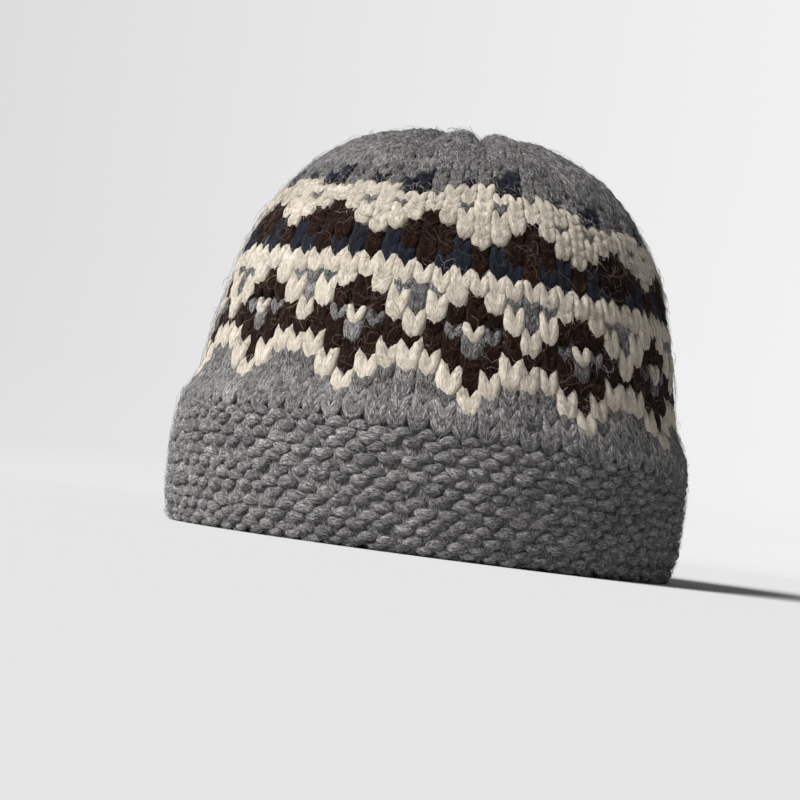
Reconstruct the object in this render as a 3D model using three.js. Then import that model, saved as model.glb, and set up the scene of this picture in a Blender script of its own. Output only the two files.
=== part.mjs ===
// A knitted fisherman beanie in bulky wool: a stranded crown that is gathered shut at the top,
// standing in a garter-stitch cuff that is folded up over it. Millimetres, +Z up.
// The origin is the middle of the opening, on the surface that the hat stands on. The front faces -Y.
import * as THREE from "three";

// Driving dimensions
const CUFF_RADIUS = 100; // outside of the cuff at the sides
const DEPTH_TO_WIDTH = 1.04; // a head is longer than it is wide, and the hat keeps a little of that
const CUFF_HEIGHT = 57; // from the fold to the shoulder where the cuff meets the crown
const KNIT = 5.7; // one knitted layer
const LAYER_GAP = 0.45; // between the crown and the cuff that lies on it
const SEAM_GAP = 0.3; // between the crown's lower end and the fold it stands on
const FOLD_TOP = 9; // where the fold ends and the crown's wall begins
const FOLD_RADIUS = 97.6; // outside of the fold
const FLAT_DEPTH = 0.4; // how far the round fold is pressed flat where it rests
const STITCHES = 78; // stitches in a round, and facets in a turn
const WEDGES = 13; // pattern repeats, and lobes where the top is drawn together

// The outside of the crown, from its lower end inside the cuff to the drawn-in middle of the top.
const CROWN_SECTIONS = [
  { height: FOLD_TOP + SEAM_GAP, radius: 93.6 },
  { height: 34, radius: 93.2 },
  { height: 57, radius: 91.8 },
  { height: 87, radius: 86 },
  { height: 116, radius: 77.6 },
  { height: 134, radius: 67.5 },
  { height: 146, radius: 56 },
  { height: 152.6, radius: 45 },
  { height: 156.8, radius: 33 },
  { height: 158.6, radius: 21 },
  { height: 158.2, radius: 11 },
  { height: 156, radius: 0 },
];

// The outside of the cuff above the fold, as shares of CUFF_RADIUS.
const CUFF_SECTIONS = [
  { height: 12, share: 0.993 },
  { height: 30, share: 1 },
  { height: 43, share: 0.986 },
  { height: 51, share: 0.963 },
];

// Garter ridges round the cuff, five of them above the fold.
const RIDGE = { count: 5, from: 8, pitch: 9.3, depth: 0.7 };

// Gathers: puffed lobes with a crease between each pair, deepest at `radius` and fading over `spread`.
// They begin at height `from`. `eye` is the radius of the small flat place in the middle.
const GATHER = { depth: 4.6, radius: 27, spread: 18, roundness: 0.7, from: 110, full: 145, eye: 9 };

// Where the surface stops facing sideways and starts facing up, so that a gather lifts it instead.
const SHOULDER = { from: 120, to: 156 };

// Soft dents in the crown, each a wave round it that fades out towards the cuff and the top.
const DENTS = [
  { waves: 2, turn: 0.9, depth: 1.1, height: 112, spread: 34 },
  { waves: 3, turn: 2.4, depth: 0.9, height: 98, spread: 30 },
  { waves: 5, turn: 0.3, depth: 0.7, height: 128, spread: 20 },
];

// Facets along each outline
const STEPS = { crownOutside: 22, crownInside: 12, fold: 10, cuff: 3 * RIDGE.count + 2, slot: 4 };

const bell = (x) => Math.exp(-x * x);
const { lerp, smoothstep } = THREE.MathUtils;

// The crown's outer outline as a smooth curve of (radius, height), and its radius at a height.
const crownCurve = new THREE.SplineCurve(
  CROWN_SECTIONS.map((s) => new THREE.Vector2(s.radius, s.height)),
);

function crownRadiusAt(height) {
  const above = Math.max(1, CROWN_SECTIONS.findIndex((s) => s.height >= height));
  const [low, high] = [CROWN_SECTIONS[above - 1], CROWN_SECTIONS[above]];
  const share = (height - low.height) / (high.height - low.height);
  return lerp(low.radius, high.radius, Math.max(0, share));
}

// How far the gathers push the surface out, at an angle and a distance from the middle of the top.
function gatherAt(angle, radius) {
  const lobe = Math.abs(Math.sin((WEDGES * angle) / 2)) ** GATHER.roundness;
  const meanLobe = 0.73;
  const uneven = 1 + 0.25 * Math.cos(2 * angle + 0.8) + 0.15 * Math.sin(3 * angle);
  const window = bell((radius - GATHER.radius) / GATHER.spread) * Math.min(1, radius / GATHER.eye);
  return GATHER.depth * window * uneven * (lobe - meanLobe);
}

function dentAt(angle, height) {
  return DENTS.reduce((sum, dent) => {
    const wave = Math.sin(dent.waves * angle + dent.turn);
    return sum + dent.depth * wave * bell((height - dent.height) / dent.spread);
  }, 0);
}

// Turns a closed outline of (radius, height) into a solid with +Z up, then gives it the hat's oval plan,
// its dents and its gathers. They move both layers alike, so the layers keep their gap.
function knittedSolid(outline) {
  const geometry = new THREE.LatheGeometry(outline, STITCHES).rotateX(Math.PI / 2);
  const place = geometry.getAttribute("position");
  const p = new THREE.Vector3();
  for (let i = 0; i < place.count; i++) {
    p.fromBufferAttribute(place, i);
    const radius = Math.hypot(p.x, p.y);
    const angle = Math.atan2(p.y, p.x);
    const gather = gatherAt(angle, radius) * smoothstep(p.z, GATHER.from, GATHER.full);
    const facesUp = smoothstep(p.z, SHOULDER.from, SHOULDER.to);
    const out = dentAt(angle, p.z) + gather * (1 - facesUp);
    const reach = radius > 0.001 ? (radius + out) / radius : 1;
    place.setXYZ(i, p.x * reach, p.y * reach * DEPTH_TO_WIDTH, p.z + gather * facesUp);
  }
  geometry.computeVertexNormals();
  return geometry;
}

// The crown: a wall one layer thick, open at the bottom. The outline runs from the middle of the top
// down the inside, and back up the outside.
function crownOutline() {
  const inside = [];
  for (let i = 0; i <= STEPS.crownInside; i++) {
    const at = 1 - i / STEPS.crownInside;
    const point = crownCurve.getPointAt(at);
    const along = crownCurve.getTangentAt(at);
    inside.push(new THREE.Vector2(point.x - along.y * KNIT, point.y + along.x * KNIT));
  }
  inside[0].set(0, crownCurve.getPointAt(1).y - KNIT);
  inside[STEPS.crownInside].y = CROWN_SECTIONS[0].height;
  return [...inside, ...crownCurve.getSpacedPoints(STEPS.crownOutside)];
}

// The cuff: the fold at the bottom, the outer layer with its ridges, and the slot that holds the crown.
function cuffOutline() {
  const inner = CROWN_SECTIONS[0].radius - KNIT;
  const foldBend = (FOLD_RADIUS - inner) / 2;
  const points = [];
  for (let i = 0; i <= STEPS.fold; i++) {
    const turn = Math.PI * (1 + i / STEPS.fold);
    const height = foldBend - FLAT_DEPTH + foldBend * Math.sin(turn);
    const radius = (FOLD_RADIUS + inner) / 2 + foldBend * Math.cos(turn);
    points.push(new THREE.Vector2(radius, Math.max(0, height)));
  }
  const wall = new THREE.SplineCurve([
    points[STEPS.fold],
    ...CUFF_SECTIONS.map((s) => new THREE.Vector2(CUFF_RADIUS * s.share, s.height)),
    new THREE.Vector2(crownRadiusAt(CUFF_HEIGHT) + LAYER_GAP, CUFF_HEIGHT),
  ]);
  for (const point of wall.getSpacedPoints(STEPS.cuff).slice(1)) {
    const ridge = (point.y - RIDGE.from) / RIDGE.pitch;
    const isRidged = ridge > 0 && ridge < RIDGE.count;
    const groove = isRidged ? RIDGE.depth * Math.cos(Math.PI * ridge) ** 2 : 0;
    points.push(new THREE.Vector2(point.x - groove, point.y));
  }
  for (let i = 1; i <= STEPS.slot; i++) {
    const height = lerp(CUFF_HEIGHT, FOLD_TOP, i / STEPS.slot);
    points.push(new THREE.Vector2(crownRadiusAt(height) + LAYER_GAP, height));
  }
  points.push(new THREE.Vector2(inner, FOLD_TOP), points[0].clone());
  return points;
}

function wool(colour) {
  return new THREE.MeshStandardMaterial({ color: colour, roughness: 0.95, metalness: 0 });
}

const crown = new THREE.Mesh(knittedSolid(crownOutline()), wool(0x8b8178));
crown.name = "crown";

const cuff = new THREE.Mesh(knittedSolid(cuffOutline()), wool(0x77736f));
cuff.name = "cuff";

const beanie = new THREE.Group();
beanie.add(crown, cuff);

export default beanie;
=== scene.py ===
# A fisherman beanie in bulky wool: a stranded crown with a diamond band, gathered at the top,
# and a purl-faced cuff. Every stitch is a loop of yarn laid on the hat's own surface.
import math

import bpy
import numpy as np
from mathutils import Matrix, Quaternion, Vector


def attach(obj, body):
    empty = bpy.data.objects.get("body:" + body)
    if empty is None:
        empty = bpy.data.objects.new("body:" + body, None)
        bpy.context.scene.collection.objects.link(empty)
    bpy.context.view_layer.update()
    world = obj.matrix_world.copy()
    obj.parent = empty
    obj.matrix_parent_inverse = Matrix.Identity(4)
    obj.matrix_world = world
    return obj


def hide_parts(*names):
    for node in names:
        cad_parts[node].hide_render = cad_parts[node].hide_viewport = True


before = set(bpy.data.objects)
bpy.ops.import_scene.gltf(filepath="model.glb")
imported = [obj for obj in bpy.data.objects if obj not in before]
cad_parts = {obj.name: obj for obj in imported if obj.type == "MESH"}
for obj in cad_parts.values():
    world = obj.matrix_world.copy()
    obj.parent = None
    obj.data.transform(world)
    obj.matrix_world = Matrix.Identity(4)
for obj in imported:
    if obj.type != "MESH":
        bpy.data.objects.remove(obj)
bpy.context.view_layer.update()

mm = 0.001
tiny = 1e-12  # added to lengths, so that none divides by nothing
print("frame loaded")


# The camera: the photo's distance, framing and lean, as low as a floor allows
photoView = {
    "lens": 92.5,
    "distance": 0.8,
    "height": 0.015,
    "aim": (-0.0142, 0.0, 0.0572),
    "lean": 7.5,  # degrees, the hat leans to the right in the picture
}


def addCamera(view):
    data = bpy.data.cameras.new("photoCamera")
    data.lens = view["lens"]
    data.sensor_width = 36
    data.clip_start = 0.01
    camera = bpy.data.objects.new("photoCamera", data)
    bpy.context.collection.objects.link(camera)
    aim = Vector(view["aim"])
    camera.location = (aim.x, aim.y - view["distance"], view["height"])
    towards = (aim - camera.location).to_track_quat("-Z", "Y")
    lean = Quaternion((0, 0, 1), math.radians(view["lean"]))
    camera.rotation_mode = "QUATERNION"
    camera.rotation_quaternion = towards @ lean
    bpy.context.scene.camera = camera


addCamera(photoView)


# Small helpers for modelling
def deselectAll():
    if bpy.context.object and bpy.context.object.mode != "OBJECT":
        bpy.ops.object.mode_set(mode="OBJECT")
    bpy.ops.object.select_all(action="DESELECT")


def activate(piece):
    deselectAll()
    piece.select_set(True)
    bpy.context.view_layer.objects.active = piece


def meshPoints(mesh):
    points = np.empty(len(mesh.vertices) * 3)
    mesh.vertices.foreach_get("co", points)
    return points.reshape(-1, 3)


def meshTriangles(mesh):
    mesh.calc_loop_triangles()
    tris = np.empty(len(mesh.loop_triangles) * 3, dtype=np.int64)
    mesh.loop_triangles.foreach_get("vertices", tris)
    return tris.reshape(-1, 3)


def readFibres(mesh):
    values = np.empty(len(mesh.vertices) * 3)
    mesh.attributes["fibreCo"].data.foreach_get("vector", values)
    return values.reshape(-1, 3)


def meshFromArrays(name, points, faces):
    mesh = bpy.data.meshes.new(name)
    mesh.from_pydata(points.tolist(), [], faces.tolist())
    mesh.polygons.foreach_set("use_smooth", np.ones(len(mesh.polygons), dtype=bool))
    piece = bpy.data.objects.new(name, mesh)
    bpy.context.collection.objects.link(piece)
    return piece


def giveAttribute(piece, name, kind, values):
    layer = piece.data.attributes.new(name, kind, "POINT")
    layer.data.foreach_set("vector" if kind == "FLOAT_VECTOR" else "value", np.ravel(values))


# The hat's outline: one line that runs down inside the rim, round the fold, up the cuff,
# over its shoulder and up the crown to the middle of the top. Millimetres, (height, radius).
outline = {
    "innerWall": [(58, 87.5), (34, 87.7), (12, 87.9)],
    "foldInner": 87.9,
    "foldOuter": 97.6,
    "foldSteps": 9,
    "pressed": 0.4,
    "cuff": [(12, 98.9), (30, 99.6), (43, 98.4), (50, 96.3), (56, 93.0)],
    "crown": [
        (62, 91.1), (87, 86.0), (116, 77.6), (134, 67.5), (146, 56.0), (152.6, 45.0),
        (156.8, 33.0), (158.6, 21.0), (158.2, 11.0), (156.0, 0.0),
    ],
    "patternStart": 54.5,  # height of the lowest tips of the pattern
    "depthToWidth": 1.04,
}

# Gathers, as in the solid but with the lobes a little fuller
gather = {
    "wedges": 13,
    "depth": 6.0,
    "radius": 32,
    "spread": 22,
    "roundness": 0.7,
    "meanLobe": 0.73,
    "eye": 9,
    "grow": (110, 145),  # the heights between which they come up to their depth
    "unevenTwofold": 0.25,
    "unevenThreefold": 0.15,
    "unevenTurn": 0.8,
}
# Between these heights the hat turns from facing sideways to facing up
shoulder = (120, 156)
leastRadius = 0.5  # points nearer the axis are moved as if they lay this far out
axisGap = 0.2  # and no yarn comes nearer the axis than this

# Soft dents, as in the solid
dents = [
    {"waves": 2, "turn": 0.9, "depth": 1.1, "height": 112, "spread": 34},
    {"waves": 3, "turn": 2.4, "depth": 0.9, "height": 98, "spread": 30},
    {"waves": 5, "turn": 0.3, "depth": 0.7, "height": 128, "spread": 20},
]


def smoothstep(x, low, high):
    t = np.clip((x - low) / (high - low), 0, 1)
    return t * t * (3 - 2 * t)


def bell(x):
    return np.exp(-x * x)


# A curve through every point, the same rule as the solid's outline
def smoothLine(points, steps=24):
    p = np.array([points[0], *points, points[-1]], dtype=float)
    t = np.linspace(0, 1, steps, endpoint=False)[:, None]
    parts = []
    for a, b, c, d in zip(p, p[1:], p[2:], p[3:]):
        v0, v1 = (c - a) / 2, (d - b) / 2
        cubic = 2 * b - 2 * c + v0 + v1
        square = 3 * c - 3 * b - 2 * v0 - v1
        parts.append(cubic * t**3 + square * t**2 + v0 * t + b)
    return np.concatenate([*parts, p[-1:]])


def knitLine(shape):
    bend = (shape["foldOuter"] - shape["foldInner"]) / 2
    turns = np.radians(np.linspace(180, 360, shape["foldSteps"]))
    middle = (shape["foldOuter"] + shape["foldInner"]) / 2
    heights = np.maximum(0, bend - shape["pressed"] + bend * np.sin(turns))
    fold = list(zip(heights, middle + bend * np.cos(turns)))
    line = smoothLine([*shape["innerWall"], *fold, *shape["cuff"], *shape["crown"]])
    steps = np.hypot(*np.diff(line, axis=0).T)
    along = np.concatenate([[0], np.cumsum(steps)])
    rising = slice(np.argmin(line[:, 0]), np.argmax(line[:, 0]))
    start = np.interp(shape["patternStart"], line[rising, 0], along[rising])
    return along - start, line[:, 1], line[:, 0]


lineAt, lineRadius, lineHeight = knitLine(outline)
slopeR, slopeZ = np.gradient(lineRadius, lineAt), np.gradient(lineHeight, lineAt)


# Gives a round hat its gathers, dents and oval plan
def shaped(x, y, z):
    radius = np.hypot(x, y)
    angle = np.arctan2(y, x)
    lobe = np.abs(np.sin(gather["wedges"] * angle / 2)) ** gather["roundness"] - gather["meanLobe"]
    twofold = gather["unevenTwofold"] * np.cos(2 * angle + gather["unevenTurn"])
    uneven = 1 + twofold + gather["unevenThreefold"] * np.sin(3 * angle)
    window = bell((radius - gather["radius"]) / gather["spread"]) * np.minimum(1, radius / gather["eye"])
    puff = gather["depth"] * window * uneven * lobe * smoothstep(z, *gather["grow"])
    facesUp = smoothstep(z, *shoulder)
    out = puff * (1 - facesUp)
    for dent in dents:
        wave = np.sin(dent["waves"] * angle + dent["turn"])
        out = out + dent["depth"] * wave * bell((z - dent["height"]) / dent["spread"])
    reach = 1 + out / np.maximum(radius, leastRadius)
    return np.stack([x * reach, y * reach * outline["depthToWidth"], z + puff * facesUp], -1) * mm


# A place on the hat: angle round it from the front, distance up the knitting from the
# pattern's lowest tips, and height above the surface
def onHat(angle, at, out):
    length = np.hypot(np.interp(at, lineAt, slopeR), np.interp(at, lineAt, slopeZ))
    normalR = np.interp(at, lineAt, slopeZ) / length
    normalZ = -np.interp(at, lineAt, slopeR) / length
    radius = np.maximum(axisGap, np.interp(at, lineAt, lineRadius) + normalR * out)
    height = np.interp(at, lineAt, lineHeight) + normalZ * out
    placed = shaped(radius * np.sin(angle), -radius * np.cos(angle), height)
    placed[..., 2] = np.maximum(placed[..., 2], 0)  # the rim is pressed flat where it stands
    return placed


print("outline ready", round(float(lineAt[-1]), 1), "mm from the pattern to the top")


# Yarn shapes, each modelled once. A stitch is two legs of thick yarn, felted together low in
# the V, that come forward at the bottom and dip behind the row above. In the band the yarns
# fill out to plump teeth, and in the plain grey rows the legs show. Millimetres.
yarnWork = {
    "stitchWidth": 7.4,
    "rowHeight": 5.3,
    "tooth": {
        "line": [(0.5, -1.9, 0.0), (1.25, 0.1, 0.7), (1.9, 2.5, 0.9), (2.45, 5.0, 0.5), (2.85, 7.5, -0.1)],
        "thickness": [0.9, 1.75, 2.2, 1.95, 1.2],
        "soften": 4,
        "flat": 0.72,
        "sink": -1.3,
    },
    "vee": {
        "line": [(0.6, -1.4, 0.0), (1.1, 0.2, 0.7), (1.85, 2.6, 1.1), (2.7, 5.2, 0.7), (3.15, 7.5, 0.0)],
        "thickness": [0.9, 1.5, 1.9, 1.85, 1.3],
        "soften": 3,
        "flat": 0.62,
        "sink": -0.95,
    },
    "felting": 0.4,
    "stitchTriangles": 96,
    # how unevenly the yarn lies from one stitch to the next: degrees, a share and millimetres
    "unevenTurn": 3.2,
    "unevenSwell": 0.055,
    "unevenAcross": 0.22,
    "unevenUp": 0.35,
    "unevenLift": 0.15,
    "ruffle": 0.1,  # and from one point of a stitch to the next
    "fibreShift": 400,  # so that no two stitches share a stretch of the wool's texture
    "bumpSize": (8.0, 4.3, 3.3),
    "bumpArch": 1.1,
    "bumpDip": 1.35,
    "bumpSink": -0.95,
}


def modelLeg(shape):
    deselectAll()
    bpy.ops.curve.primitive_bezier_curve_add()
    curve = bpy.context.object
    curve.data.dimensions = "3D"
    curve.data.resolution_u = 4
    curve.data.bevel_depth = 1.0
    curve.data.bevel_resolution = 4
    curve.data.use_fill_caps = True
    spline = curve.data.splines[0]
    spline.bezier_points.add(len(shape["line"]) - 2)
    for point, place, thick in zip(spline.bezier_points, shape["line"], shape["thickness"]):
        point.co = place
        point.radius = thick
        point.handle_left_type = point.handle_right_type = "AUTO"
    bpy.ops.object.convert(target="MESH")
    leg = bpy.context.object
    bpy.ops.object.mode_set(mode="EDIT")
    bpy.ops.mesh.select_all(action="SELECT")
    bpy.ops.mesh.normals_make_consistent(inside=False)
    bpy.ops.object.mode_set(mode="OBJECT")
    return leg


def modelStitch(yarn, shape):
    stitch = modelLeg(shape)
    otherLeg = stitch.modifiers.new("otherLeg", "MIRROR")
    otherLeg.use_mirror_merge = False
    felt = stitch.modifiers.new("felt", "REMESH")
    felt.mode = "VOXEL"
    felt.voxel_size = yarn["felting"]
    soften = stitch.modifiers.new("soften", "SMOOTH")
    soften.factor = 0.7
    soften.iterations = shape["soften"]
    for modifier in (otherLeg, felt, soften):
        bpy.ops.object.modifier_apply(modifier=modifier.name)
    thin = stitch.modifiers.new("thin", "DECIMATE")
    thin.ratio = yarn["stitchTriangles"] / len(meshTriangles(stitch.data))
    thin.use_symmetry = True
    bpy.ops.object.modifier_apply(modifier=thin.name)
    line = np.array(shape["line"])
    points = meshPoints(stitch.data)
    fibres = np.stack([
        np.abs(points[:, 0]) - np.interp(points[:, 1], line[:, 1], line[:, 0]),
        points[:, 1],
        points[:, 2] - np.interp(points[:, 1], line[:, 1], line[:, 2]),
    ], -1)
    giveAttribute(stitch, "fibreCo", "FLOAT_VECTOR", fibres)
    points[:, 2] = points[:, 2] * shape["flat"] + shape["sink"]
    stitch.data.vertices.foreach_set("co", points.ravel())
    return stitch


def modelBump(yarn):
    deselectAll()
    bpy.ops.mesh.primitive_uv_sphere_add(segments=8, ring_count=6, radius=0.5)
    bump = bpy.context.object
    bpy.ops.object.mode_set(mode="EDIT")
    bpy.ops.mesh.select_all(action="SELECT")
    # center_override keeps the turn round the middle
    bpy.ops.transform.rotate(value=math.radians(90), orient_axis="Y", center_override=(0, 0, 0))
    bpy.ops.transform.resize(value=yarn["bumpSize"])
    bpy.ops.object.mode_set(mode="OBJECT")
    points = meshPoints(bump.data)
    giveAttribute(bump, "fibreCo", "FLOAT_VECTOR", points[:, [1, 0, 2]])
    ends = (points[:, 0] / (yarn["bumpSize"][0] / 2)) ** 2
    points[:, 1] -= yarn["bumpArch"] * ends
    points[:, 2] += yarn["bumpSink"] - yarn["bumpDip"] * ends
    bump.data.vertices.foreach_set("co", points.ravel())
    return bump


# Copies one yarn shape to every place given and joins the copies in one mesh
def workYarn(name, shape, angle, at, width, height, seed, flip=None, wobble=1.0, out=0.0, plump=1.0):
    draw = np.random.default_rng(seed)
    count = len(angle)
    base = meshPoints(shape.data)
    fibres = readFibres(shape.data)
    tris = meshTriangles(shape.data)
    turn = np.radians(draw.normal(0, yarnWork["unevenTurn"] * wobble, count))[:, None]
    swell = plump + draw.normal(0, yarnWork["unevenSwell"] * wobble, (count, 1))
    x = base[None, :, 0] * swell
    y = base[None, :, 1] * swell
    if flip is not None:
        y = y * flip[:, None]
    ruffle = draw.normal(0, yarnWork["ruffle"], (3, *x.shape))
    aside = draw.normal(0, yarnWork["unevenAcross"] * wobble, (count, 1))
    higher = draw.normal(0, yarnWork["unevenUp"] * wobble, (count, 1))
    further = draw.normal(0, yarnWork["unevenLift"] * wobble, (count, 1))
    across = x * np.cos(turn) - y * np.sin(turn) + aside + ruffle[0]
    up = x * np.sin(turn) + y * np.cos(turn) + higher + ruffle[1]
    lift = base[None, :, 2] * swell + further + out + ruffle[2]
    around = angle[:, None] + across * (width / yarnWork["stitchWidth"])[:, None]
    along = at[:, None] + up * (height / yarnWork["rowHeight"])[:, None]
    points = onHat(around, sloped(around, along), lift).reshape(-1, 3)
    faces = (tris[None] + (np.arange(count) * len(base))[:, None, None]).reshape(-1, 3)
    piece = meshFromArrays(name, points, faces)
    shift = draw.uniform(0, yarnWork["fibreShift"], (count, 1, 3))
    giveAttribute(piece, "fibreCo", "FLOAT_VECTOR", fibres[None] + shift)
    giveAttribute(piece, "shade", "FLOAT", np.repeat(draw.normal(0, 1, count), len(base)))
    return piece


toothShape = modelStitch(yarnWork, yarnWork["tooth"])
veeShape = modelStitch(yarnWork, yarnWork["vee"])
bumpShape = modelBump(yarnWork)
print("triangles:", [len(meshTriangles(shape.data)) for shape in (toothShape, veeShape, bumpShape)])


# The chart, one repeat wide, from the lowest row up. The first stitch is the diamond's middle.
# g grey, c cream, b brown, n navy, v and w small cream and grey stitches whose legs show
chart = [
    "cggggg",
    "bcgggc",
    "bbcccb",
    "gbbbbb",
    "vwbcbw",
    "bbcgcb",
    "bcgggc",
    "cccccc",
    "bnnbnn",
    "bnbbbn",
    "cbbbbb",
    "ccbbbc",
    "cccbcc",
    "cgcccg",
    "cccccc",
    "cnngcc",
    "gnnggn",
    "ggnggg",
]
knitting = {
    "stitches": 78,
    "firstDiamond": 5.3,  # degrees to the right of the front
    "rowsBelow": 2,  # grey rows under the pattern, over the cuff's shoulder
    # rows, and how far along the knitting they lie: the rows of the band are the tallest
    "rowAt": [
        (-2, -12.4), (0, -1.9), (4, 22.6), (5, 29.3), (6, 36.5), (7, 41.6), (8, 47.2), (10, 58.8),
        (13, 70.0), (17, 82.0), (34, 157.0),
    ],
    # stitches left in a round, from a row on
    "decreases": {18: 65, 20: 52, 23: 39, 27: 26, 31: 13},
    "lastRow": 33,
    # the rows run down towards the right, up to this far at the sides. The slope grows and
    # fades between these distances along the knitting.
    "slope": 3.8,
    "slopeGrows": (-45, -5),
    "slopeFades": (90, 140),
    # right of the front the band rises over a lobe of the top
    "lobe": {"angle": 12, "spread": 16, "height": 8.5, "grows": (58, 84), "fades": (95, 150)},
    "seed": 7,
}
yarnNames = {"g": "grey", "c": "cream", "b": "brown", "n": "navy", "v": "cream_vee", "w": "grey_vee"}
# Cream is the thicker yarn: it blooms down over its neighbours, and the dark ones lie back
yarnLie = {
    "grey": {"down": -0.4, "out": -0.1, "plump": 1.0, "tall": 1.0},
    "cream": {"down": 1.4, "out": 0.2, "plump": 1.15, "tall": 1.1},
    "brown": {"down": -0.8, "out": -0.2, "plump": 1.0, "tall": 1.0},
    "navy": {"down": -0.7, "out": -0.2, "plump": 1.0, "tall": 1.0},
    "cream_vee": {"down": 0.1, "out": 0.25, "plump": 0.95, "tall": 0.7},
    "grey_vee": {"down": 0.2, "out": -0.5, "plump": 0.88, "tall": 0.7},
    "plain": {"down": 0.0, "out": 0.0, "plump": 1.07, "tall": 1.0},
    "top": {"down": 0.0, "out": 0.15, "plump": 1.2, "tall": 1.1},
}


def sloped(angle, at):
    fade = smoothstep(at, *knitting["slopeGrows"]) * (1 - smoothstep(at, *knitting["slopeFades"]))
    lobe = knitting["lobe"]
    aside = (np.degrees(angle) - lobe["angle"] + 180) % 360 - 180
    rise = lobe["height"] * bell(aside / lobe["spread"])
    rise = rise * smoothstep(at, *lobe["grows"]) * (1 - smoothstep(at, *lobe["fades"]))
    return at - knitting["slope"] * np.sin(angle) * fade + rise


def crownCells():
    cells = {name: [] for name in yarnLie}
    count = knitting["stitches"]
    rows, distances = zip(*knitting["rowAt"])
    for row in range(-knitting["rowsBelow"], knitting["lastRow"] + 1):
        count = knitting["decreases"].get(row, count)
        width = 2 * math.pi / count
        at, nextAt = np.interp([row, row + 1], rows, distances)
        isBand = 0 <= row < len(chart)
        greyRows = "top" if row > 0 else "plain"
        for column in range(count):
            yarn = yarnNames[chart[row][column % len(chart[row])]] if isBand else greyRows
            angle = math.radians(knitting["firstDiamond"]) + column * width
            if count != knitting["stitches"]:
                angle = (column + 0.5) * width
            cells[yarn].append((angle, at, width, nextAt - at))
    return {name: np.array(places) for name, places in cells.items()}


def knitCrown():
    made = {}
    for order, (name, places) in enumerate(crownCells().items()):
        angle, at, width, height = places.T
        lie = yarnLie[name]
        shape = veeShape if name in ("plain", "top", "cream_vee", "grey_vee") else toothShape
        made[name] = workYarn(
            "stitches_" + name, shape, angle, at - lie["down"], width, height * lie["tall"],
            knitting["seed"] + order, out=lie["out"], plump=lie["plump"],
        )
    return made


stitches = knitCrown()
print("crown knitted:", {name: len(piece.data.polygons) for name, piece in stitches.items()})


# The cuff: rounds of purl bumps, every other one turned over and half a stitch on.
# They run from the shoulder down, round the fold and up inside the rim.
cuffWork = {
    "bumps": 78,
    "from": -10.4,  # along the knitting, from the pattern's lowest tips
    "pitch": 3.75,
    "outsideRounds": 12,
    "rounds": 25,
    "fuzzyRounds": 15,  # fuzz also grows on the first rounds inside the rim
    "wobble": 1.7,  # purl bumps lie less evenly than the crown's stitches
    "seed": 21,
}


def purlRounds(work, first, last):
    angle, at, flip = [], [], []
    for round_ in range(first, last):
        places = (np.arange(work["bumps"]) + 0.5 * (round_ % 2)) * 2 * math.pi / work["bumps"]
        angle.append(places)
        at.append(np.full(work["bumps"], work["from"] - round_ * work["pitch"]))
        flip.append(np.full(work["bumps"], 1.0 if round_ % 2 else -1.0))
    return np.concatenate(angle), np.concatenate(at), np.concatenate(flip)


def knitCuff(name, first, last, seed):
    angle, at, flip = purlRounds(cuffWork, first, last)
    width = np.full(len(angle), 2 * math.pi / cuffWork["bumps"])
    height = np.full(len(angle), yarnWork["rowHeight"])
    return workYarn(name, bumpShape, angle, at, width, height, seed, flip, cuffWork["wobble"])


cuffBumps = knitCuff("cuff_bumps", 0, cuffWork["outsideRounds"], cuffWork["seed"])
rimBumps = knitCuff(
    "rim_inside_bumps", cuffWork["outsideRounds"], cuffWork["rounds"], cuffWork["seed"] + 1,
)
print("cuff knitted:", len(cuffBumps.data.polygons), len(rimBumps.data.polygons))


# The fabric behind the stitches, closed walls spun round the hat's axis. Millimetres.
fabric = {
    "turns": 216,
    "behindCrown": 2.0,  # how far the fabric lies behind the surface that the stitches are on
    "behindCuff": 1.6,
    "layer": 5.7,
    "slot": [(92.2, 56.2), (93.0, 44), (93.8, 30), (94.1, 9.0)],  # where the cuff holds the crown
    "foldTop": 9.0,
    "seamGap": 0.3,
    "skirtFoot": 93.4,  # radius of the crown's lower end, in the slot
    "skirt": [(93.0, 30), (91.6, 50)],
    "crownFrom": 5,  # along the knitting, where the crown's wall comes out of the cuff
    "shortOfTop": 3,  # the outside's last ring, before it closes in the middle
    "shortOfTopInside": 8,
    "cuffTo": -0.5,
    "insideLayer": 12,  # how far the cuff's wall runs up inside, from its lowest line
    "floorGap": 0.2,
    "step": 1.2,
    "ridge": 0.6,  # the purl side's ridges inside the crown
}


def spinWall(name, profile):
    mesh = bpy.data.meshes.new(name)
    edges = [(i, i + 1) for i in range(len(profile) - 1)]
    mesh.from_pydata([(radius, 0, height) for radius, height in profile], edges, [])
    wall = bpy.data.objects.new(name, mesh)
    bpy.context.collection.objects.link(wall)
    activate(wall)
    bpy.ops.object.mode_set(mode="EDIT")
    bpy.ops.mesh.select_all(action="SELECT")
    bpy.ops.mesh.spin(steps=fabric["turns"], angle=2 * math.pi, center=(0, 0, 0), axis=(0, 0, 1))
    bpy.ops.mesh.select_all(action="SELECT")
    bpy.ops.mesh.remove_doubles(threshold=0.01)
    bpy.ops.mesh.normals_make_consistent(inside=False)
    bpy.ops.object.mode_set(mode="OBJECT")
    points = meshPoints(mesh)
    mesh.vertices.foreach_set("co", shaped(*points.T).ravel())
    mesh.update()
    bpy.ops.object.shade_smooth()
    giveAttribute(wall, "fibreCo", "FLOAT_VECTOR", points[:, [0, 2, 1]])
    giveAttribute(wall, "shade", "FLOAT", np.zeros(len(points)))
    return wall


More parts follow.
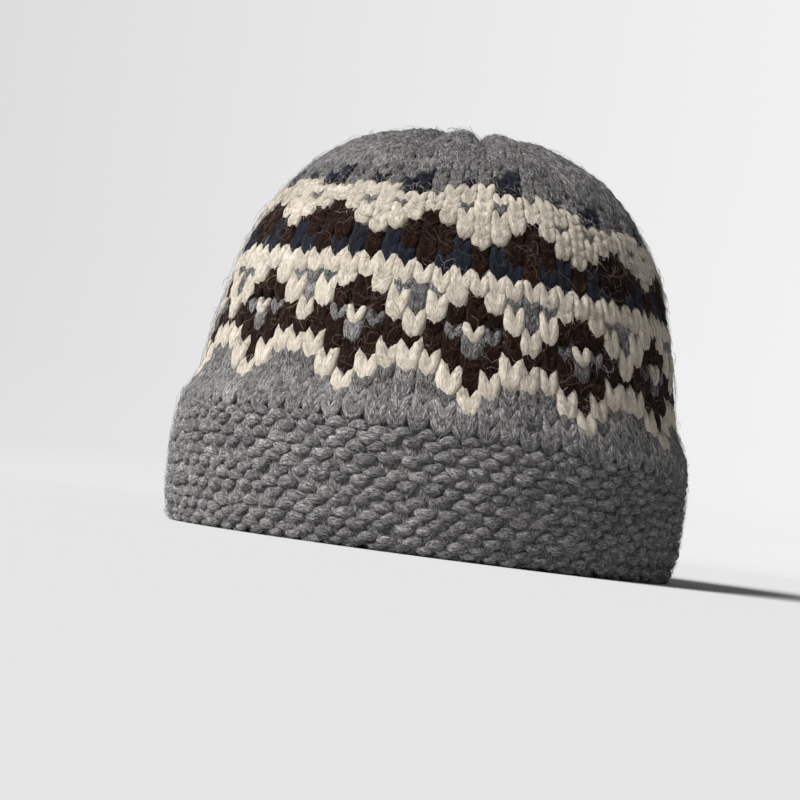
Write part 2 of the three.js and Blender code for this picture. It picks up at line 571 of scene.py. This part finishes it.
# A stretch of the hat's outline as (radius, height), moved outwards by out
def lineStretch(first, last, step, out):
    at = np.arange(first, last, step)
    up, across = np.interp(at, lineAt, slopeZ), np.interp(at, lineAt, slopeR)
    length = np.hypot(up, across)
    radius = np.interp(at, lineAt, lineRadius) + up / length * out
    height = np.interp(at, lineAt, lineHeight) - across / length * out
    return np.stack([radius, height], -1)


def crownWall():
    bottom = fabric["foldTop"] + fabric["seamGap"]
    top = float(lineAt[-1])
    start = fabric["crownFrom"]
    outside = lineStretch(start, top - fabric["shortOfTop"], 2 * fabric["step"], -fabric["behindCrown"])
    inside = lineStretch(start, top - fabric["shortOfTopInside"], fabric["step"], -fabric["layer"])
    rounds = np.arange(len(inside)) * fabric["step"] / yarnWork["rowHeight"]
    inside[:, 0] -= fabric["ridge"] * np.abs(np.sin(math.pi * rounds))
    skirt = [(inside[0][0], bottom), (fabric["skirtFoot"], bottom), *fabric["skirt"]]
    topMiddle = [(0, lineHeight[-1] - fabric["layer"]), (0, lineHeight[-1] - fabric["behindCrown"])]
    return [topMiddle[0], *inside[::-1], *skirt, *outside, topMiddle[1]]


def cuffWall():
    lowest = lineAt[np.argmin(lineHeight)]
    insideTop = lowest - fabric["insideLayer"]
    outside = lineStretch(insideTop, fabric["cuffTo"], fabric["step"], -fabric["behindCuff"])
    outside[:, 1] = np.maximum(outside[:, 1], fabric["floorGap"])
    lip = (outside[0][0], fabric["foldTop"])
    return [*outside, *fabric["slot"], lip, outside[0]]


crownFabric = spinWall("crown_fabric", crownWall())
cuffFabric = spinWall("cuff_fabric", cuffWall())
print("fabric walls:", len(crownFabric.data.polygons), len(cuffFabric.data.polygons))


# Loose fibres that stand out of the wool, thin closed hairs with three sides
hairWork = {
    "fromStitch": 2,  # the roots' middle, up from a stitch's lower end
    "shortOfTop": 1,
    "leastRadius": 5,
    "leastRise": 0.35,
    "peak": (0.4, 0.9),  # the share of its length at which a hair stands highest
    "uneven": (0.6, 1.3),  # shares of the thickness
    "sides": 3,
    "aslant": (0.13, 0.21, 0.97),  # hairs have their sides square to this and to themselves
}


def growHairs(name, look, angle, at):
    draw = np.random.default_rng(look["seed"])
    pick = draw.integers(0, len(angle), look["count"])
    count, joints = look["count"], look["joints"]
    spread = look["spread"]
    sNow = at[pick] + draw.uniform(-0.5, 0.5, count) * spread[1]
    radius = np.maximum(np.interp(sNow, lineAt, lineRadius), hairWork["leastRadius"])
    aNow = angle[pick] + draw.uniform(-0.5, 0.5, count) * spread[0] / radius
    heading = draw.uniform(0, 2 * math.pi, count)
    curl = draw.normal(0, look["curl"], count)
    length = draw.uniform(*look["length"], count)
    rise = look["rise"] * np.abs(draw.normal(0, 1, count)) + hairWork["leastRise"]
    peak = draw.uniform(*hairWork["peak"], count)
    highest = lineAt[-1] - hairWork["shortOfTop"]
    paths = []
    for joint in range(joints):
        share = joint / (joints - 1)
        out = look["root"] + rise * np.sin(np.minimum(share / peak, 2 - share / peak) * math.pi / 2)
        paths.append(onHat(aNow, sloped(aNow, np.minimum(sNow, highest)), out))
        turn = heading + curl * share + draw.normal(0, look["kink"], count)
        aNow = aNow + np.cos(turn) * length / (joints - 1) / radius
        sNow = sNow + np.sin(turn) * length / (joints - 1)
    path = np.stack(paths, 1)
    along = np.gradient(path, axis=1)
    along /= np.linalg.norm(along, axis=2, keepdims=True) + tiny
    side = np.cross(along, hairWork["aslant"])
    side /= np.linalg.norm(side, axis=2, keepdims=True) + tiny
    other = np.cross(along, side)
    thick = look["thickness"] * mm / 2 * draw.uniform(*hairWork["uneven"], (count, 1, 1))
    rings = [
        path[:, 1:-1] + thick * (math.cos(t) * side[:, 1:-1] + math.sin(t) * other[:, 1:-1])
        for t in np.arange(hairWork["sides"]) * 2 * math.pi / hairWork["sides"]
    ]
    body = np.stack(rings, 2).reshape(count, -1, 3)
    points = np.concatenate([path[:, :1], body, path[:, -1:]], 1)
    faces = hairFaces(joints - 2)
    hairs = (faces[None] + (np.arange(count) * points.shape[1])[:, None, None]).reshape(-1, 3)
    piece = meshFromArrays(name, points.reshape(-1, 3), hairs)
    giveAttribute(piece, "shade", "FLOAT", np.repeat(draw.normal(0, 1, count), points.shape[1]))
    return piece


# The triangles of one hair: a tip, rings of points and another tip
def hairFaces(rings):
    sides = hairWork["sides"]
    last = sides * rings + 1
    faces = []
    for side in range(sides):
        after = (side + 1) % sides
        faces.append((0, 1 + after, 1 + side))
        for ring in range(rings - 1):
            a, b = 1 + sides * ring + side, 1 + sides * ring + after
            faces.append((a, b, a + sides))
            faces.append((b, b + sides, a + sides))
        faces.append((last, last - sides + side, last - sides + after))
    return np.array(faces)


# Short fuzz on every yarn, and long curly hairs that lie loose over the crown. Millimetres.
fuzz = {
    "joints": 4,
    "length": (1.6, 4.2),
    "rise": 0.5,
    "root": 0.3,
    "curl": 1.2,
    "kink": 0.3,
    "thickness": 0.08,
}
curls = {
    "joints": 8,
    "length": (6, 15),
    "rise": 0.8,
    "root": 0.9,
    "curl": 3.4,
    "kink": 0.4,
    "thickness": 0.11,
}
wisps = {
    "joints": 6,
    "length": (4, 9),
    "rise": 0.6,
    "root": 0.6,
    "curl": 2.0,
    "kink": 0.4,
    "thickness": 0.07,
}
hairLooks = {
    "fuzz_grey": {**fuzz, "count": 9500, "spread": (7, 6), "seed": 31},
    "fuzz_cream": {**fuzz, "count": 8000, "spread": (8, 7), "seed": 32},
    "fuzz_brown": {**fuzz, "count": 3600, "spread": (7, 6), "seed": 33},
    "fuzz_navy": {**fuzz, "count": 900, "spread": (7, 6), "seed": 34},
    "fuzz_cuff": {**fuzz, "count": 12500, "spread": (8, 5), "seed": 35},
    "curls_brown": {**curls, "count": 1300, "spread": (8, 6), "seed": 36},
    "curls_grey": {**curls, "count": 900, "spread": (8, 6), "seed": 37},
    "wisps_cream": {**wisps, "count": 1100, "spread": (9, 9), "seed": 38},
}


def growAllHairs():
    cells = crownCells()
    up = hairWork["fromStitch"]
    roots = {name: (places[:, 0], places[:, 1] + up) for name, places in cells.items()}
    together = {"grey": ("grey", "grey_vee", "plain", "top"), "cream": ("cream", "cream_vee")}
    for yarn, names in together.items():
        roots[yarn] = [np.concatenate(parts) for parts in zip(*(roots[name] for name in names))]
    roots["cuff"] = purlRounds(cuffWork, 0, cuffWork["fuzzyRounds"])[:2]
    return {name: growHairs(name, look, *roots[name.split("_")[1]]) for name, look in hairLooks.items()}


hairs = growAllHairs()
print("hairs:", {name: len(piece.data.polygons) for name, piece in hairs.items()})


# Wool: fibres run along the yarn in pale and dark streaks, and lie in soft clumps.
# uneven is how much one stitch differs in tone from the next.
woolLooks = {
    "grey": {
        "dark": (0.036, 0.035, 0.035), "mid": (0.132, 0.127, 0.125), "pale": (0.36, 0.35, 0.345),
        "uneven": 0.15, "gloss": 0.1, "sheen": 0.05,
    },
    # the same grey wool made darker for the band and the top: painted shade
    "shaded_grey": {
        "dark": (0.020, 0.019, 0.019), "mid": (0.096, 0.092, 0.091), "pale": (0.31, 0.30, 0.295),
        "uneven": 0.15, "gloss": 0.1, "sheen": 0.05,
    },
    "cream": {
        "dark": (0.33, 0.285, 0.23), "mid": (0.46, 0.41, 0.34), "pale": (0.56, 0.51, 0.44),
        "uneven": 0.05, "gloss": 0.1, "sheen": 0.05,
    },
    "brown": {
        "dark": (0.0035, 0.0014, 0.0009), "mid": (0.0105, 0.0040, 0.0023), "pale": (0.036, 0.017, 0.010),
        "uneven": 0.12, "gloss": 0.05, "sheen": 0.02,
    },
    "navy": {
        "dark": (0.0025, 0.003, 0.006), "mid": (0.0045, 0.0058, 0.0125), "pale": (0.017, 0.020, 0.034),
        "uneven": 0.12, "gloss": 0.1, "sheen": 0.05,
    },
}
fibreTones = {"dark": 0.40, "mid": 0.50, "pale": 0.63}
fibreStretch = (2.4, 0.5, 2.4)  # the streaks are about five times as long as wide


def rampStops(node, stops):
    ramp = node.color_ramp
    while len(ramp.elements) < len(stops):
        ramp.elements.new(0.5)
    for element, (place, colour) in zip(ramp.elements, stops):
        element.position = place
        element.color = (*colour, 1)


def addNoise(nodes, scale, detail, roughness, distortion):
    noise = nodes.new("ShaderNodeTexNoise")
    noise.inputs["Scale"].default_value = scale
    noise.inputs["Detail"].default_value = detail
    noise.inputs["Roughness"].default_value = roughness
    noise.inputs["Distortion"].default_value = distortion
    return noise


def woolMaterial(name, look):
    material = bpy.data.materials.new(name + "_wool")
    material.use_nodes = True
    nodes, links = material.node_tree.nodes, material.node_tree.links
    surface = nodes["Principled BSDF"]
    surface.inputs["Roughness"].default_value = 0.95
    surface.inputs["Specular IOR Level"].default_value = look["gloss"]
    surface.inputs["Sheen Weight"].default_value = look["sheen"]
    surface.inputs["Sheen Roughness"].default_value = 0.5

    yarn = nodes.new("ShaderNodeAttribute")
    yarn.attribute_name = "fibreCo"
    stretch = nodes.new("ShaderNodeMapping")
    stretch.inputs["Scale"].default_value = fibreStretch
    links.new(yarn.outputs["Vector"], stretch.inputs["Vector"])
    fibre = addNoise(nodes, scale=1.0, detail=5, roughness=0.7, distortion=0.9)
    links.new(stretch.outputs["Vector"], fibre.inputs["Vector"])
    lump = addNoise(nodes, scale=0.55, detail=3, roughness=0.6, distortion=0.0)
    links.new(yarn.outputs["Vector"], lump.inputs["Vector"])

    ramp = nodes.new("ShaderNodeValToRGB")
    rampStops(ramp, [(place, look[tone]) for tone, place in fibreTones.items()])
    links.new(fibre.outputs["Fac"], ramp.inputs["Fac"])

    shade = nodes.new("ShaderNodeAttribute")
    shade.attribute_name = "shade"
    stitchGain = nodes.new("ShaderNodeMath")
    stitchGain.operation = "MULTIPLY_ADD"
    stitchGain.inputs[1].default_value = look["uneven"]
    stitchGain.inputs[2].default_value = 0.5
    links.new(shade.outputs["Fac"], stitchGain.inputs[0])
    gain = nodes.new("ShaderNodeMath")
    gain.operation = "ADD"
    links.new(stitchGain.outputs["Value"], gain.inputs[0])
    links.new(lump.outputs["Fac"], gain.inputs[1])
    tint = nodes.new("ShaderNodeVectorMath")
    tint.operation = "SCALE"
    links.new(ramp.outputs["Color"], tint.inputs[0])
    links.new(gain.outputs["Value"], tint.inputs["Scale"])
    links.new(tint.outputs["Vector"], surface.inputs["Base Color"])

    relief = nodes.new("ShaderNodeMath")
    relief.operation = "ADD"
    links.new(fibre.outputs["Fac"], relief.inputs[0])
    links.new(lump.outputs["Fac"], relief.inputs[1])
    bump = nodes.new("ShaderNodeBump")
    bump.inputs["Strength"].default_value = 0.8
    bump.inputs["Distance"].default_value = 0.0011
    links.new(relief.outputs["Value"], bump.inputs["Height"])
    links.new(bump.outputs["Normal"], surface.inputs["Normal"])
    return material


wool = {name: woolMaterial(name, look) for name, look in woolLooks.items()}


# A hair is one plain tone, somewhere between two colours, by its own value of shade
toneRange = 1.8


def hairMaterial(name, dark, pale):
    material = bpy.data.materials.new(name)
    material.use_nodes = True
    nodes, links = material.node_tree.nodes, material.node_tree.links
    surface = nodes["Principled BSDF"]
    surface.inputs["Roughness"].default_value = 0.8
    surface.inputs["Specular IOR Level"].default_value = 0.2
    shade = nodes.new("ShaderNodeAttribute")
    shade.attribute_name = "shade"
    spread = nodes.new("ShaderNodeMapRange")
    spread.inputs["From Min"].default_value = -toneRange
    spread.inputs["From Max"].default_value = toneRange
    ramp = nodes.new("ShaderNodeValToRGB")
    rampStops(ramp, [(0.0, dark), (1.0, pale)])
    links.new(shade.outputs["Fac"], spread.inputs["Value"])
    links.new(spread.outputs["Result"], ramp.inputs["Fac"])
    links.new(ramp.outputs["Color"], surface.inputs["Base Color"])
    return material


greyHair = hairMaterial("grey_hair", (0.03, 0.03, 0.03), (0.33, 0.32, 0.315))
creamHair = hairMaterial("cream_hair", (0.33, 0.29, 0.24), (0.60, 0.55, 0.48))
brownHair = hairMaterial("brown_hair", (0.006, 0.003, 0.002), (0.048, 0.028, 0.020))
navyHair = hairMaterial("navy_hair", (0.004, 0.006, 0.012), (0.045, 0.055, 0.08))
strayHair = hairMaterial("stray_hair", (0.012, 0.007, 0.005), (0.165, 0.115, 0.09))
hairFinish = {
    "fuzz_grey": (greyHair, "grey_wool"),
    "fuzz_cream": (creamHair, "cream_wool"),
    "fuzz_brown": (brownHair, "brown_wool"),
    "fuzz_navy": (navyHair, "navy_wool"),
    "fuzz_cuff": (greyHair, "grey_wool"),
    "curls_brown": (strayHair, "brown_wool"),
    "curls_grey": (greyHair, "grey_wool"),
    "wisps_cream": (creamHair, "cream_wool"),
}


def finishPiece(piece, material, slot):
    piece.data.materials.clear()
    piece.data.materials.append(material)
    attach(piece, "root")


# The grey stitches of the band and the top get a darker copy of the cuff's grey wool: painted shade
shadedGreys = ("grey", "grey_vee", "top")
for name, piece in stitches.items():
    yarn = "grey" if name in ("plain", "top") else name.split("_")[0]
    finishPiece(piece, wool["shaded_grey" if name in shadedGreys else yarn], yarn + "_wool")
for piece in (crownFabric, cuffFabric, cuffBumps, rimBumps):
    finishPiece(piece, wool["grey"], "grey_wool")
for name, piece in hairs.items():
    finishPiece(piece, *hairFinish[name])
crownHairs = [hairs[name] for name in hairs if "cuff" not in name]
cuffHairs = [hairs[name] for name in hairs if "cuff" in name]
for piece in (crownFabric, *stitches.values(), *crownHairs):
    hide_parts("crown")
for piece in (cuffFabric, cuffBumps, rimBumps, *cuffHairs):
    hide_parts("cuff")
for shape in (toothShape, veeShape, bumpShape):
    bpy.data.objects.remove(shape)
print("wool on")


# The studio: a pale dish that turns up at its edge, lit softly from the upper left
studio = {
    "floor": 0.8,
    "rise": [(0.95, 0), (1.1, 0), (1.35, 0.05), (1.8, 0.24), (2.6, 0.62), (3.4, 1.02), (4.2, 1.46)],
    "paper": [
        (0.0, (0.505, 0.505, 0.505)), (0.12, (0.46, 0.46, 0.46)), (0.45, (0.445, 0.445, 0.445)),
        (1.0, (0.44, 0.44, 0.44)),
    ],
    "paperTop": 0.3,  # the height at which the paper has its last tone
    "sunFrom": (-0.66, -0.42, 0.59),
    "sunPower": 7.2,
    "sunSoftness": 30,  # degrees
    "air": 0.13,
}


# Plain paper, a shade deeper where it rises and faces the light more
def paperMaterial(look):
    material = bpy.data.materials.new("studio_paper")
    material.use_nodes = True
    nodes, links = material.node_tree.nodes, material.node_tree.links
    paper = nodes["Principled BSDF"]
    paper.inputs["Roughness"].default_value = 1.0
    paper.inputs["Specular IOR Level"].default_value = 0.0
    place = nodes.new("ShaderNodeTexCoord")
    axes = nodes.new("ShaderNodeSeparateXYZ")
    rise = nodes.new("ShaderNodeMapRange")
    rise.inputs["From Max"].default_value = look["paperTop"]
    ramp = nodes.new("ShaderNodeValToRGB")
    rampStops(ramp, look["paper"])
    links.new(place.outputs["Object"], axes.inputs["Vector"])
    links.new(axes.outputs["Z"], rise.inputs["Value"])
    links.new(rise.outputs["Result"], ramp.inputs["Fac"])
    links.new(ramp.outputs["Color"], paper.inputs["Base Color"])
    return material


def addStudio(look):
    deselectAll()
    bpy.ops.mesh.primitive_circle_add(vertices=128, radius=look["floor"], fill_type="TRIFAN")
    dish = bpy.context.object
    dish.name = "studio_dish"
    bpy.ops.object.mode_set(mode="EDIT")
    bpy.ops.mesh.select_mode(type="EDGE")
    bpy.ops.mesh.select_all(action="DESELECT")
    bpy.ops.mesh.select_non_manifold()
    radius, height = look["floor"], 0
    for nextRadius, nextHeight in look["rise"]:
        bpy.ops.mesh.extrude_edges_move(TRANSFORM_OT_translate={"value": (0, 0, nextHeight - height)})
        bpy.ops.transform.resize(value=(nextRadius / radius, nextRadius / radius, 1))
        radius, height = nextRadius, nextHeight
    bpy.ops.object.mode_set(mode="OBJECT")
    smooth = dish.modifiers.new("smooth", "SUBSURF")
    smooth.levels = smooth.render_levels = 2
    bpy.ops.object.modifier_apply(modifier=smooth.name)
    bpy.ops.object.shade_smooth()
    dish.data.materials.append(paperMaterial(look))


def addLights(look):
    data = bpy.data.lights.new("window", "SUN")
    data.energy = look["sunPower"]
    data.angle = math.radians(look["sunSoftness"])
    light = bpy.data.objects.new("window", data)
    bpy.context.collection.objects.link(light)
    light.rotation_mode = "QUATERNION"
    light.rotation_quaternion = (-Vector(look["sunFrom"])).to_track_quat("-Z", "Y")
    world = bpy.data.worlds.new("studio_air")
    world.use_nodes = True
    world.node_tree.nodes["Background"].inputs["Color"].default_value = (1, 1, 1, 1)
    world.node_tree.nodes["Background"].inputs["Strength"].default_value = look["air"]
    bpy.context.scene.world = world
    bpy.context.scene.view_settings.view_transform = "Standard"


addStudio(studio)
addLights(studio)
print("studio ready")
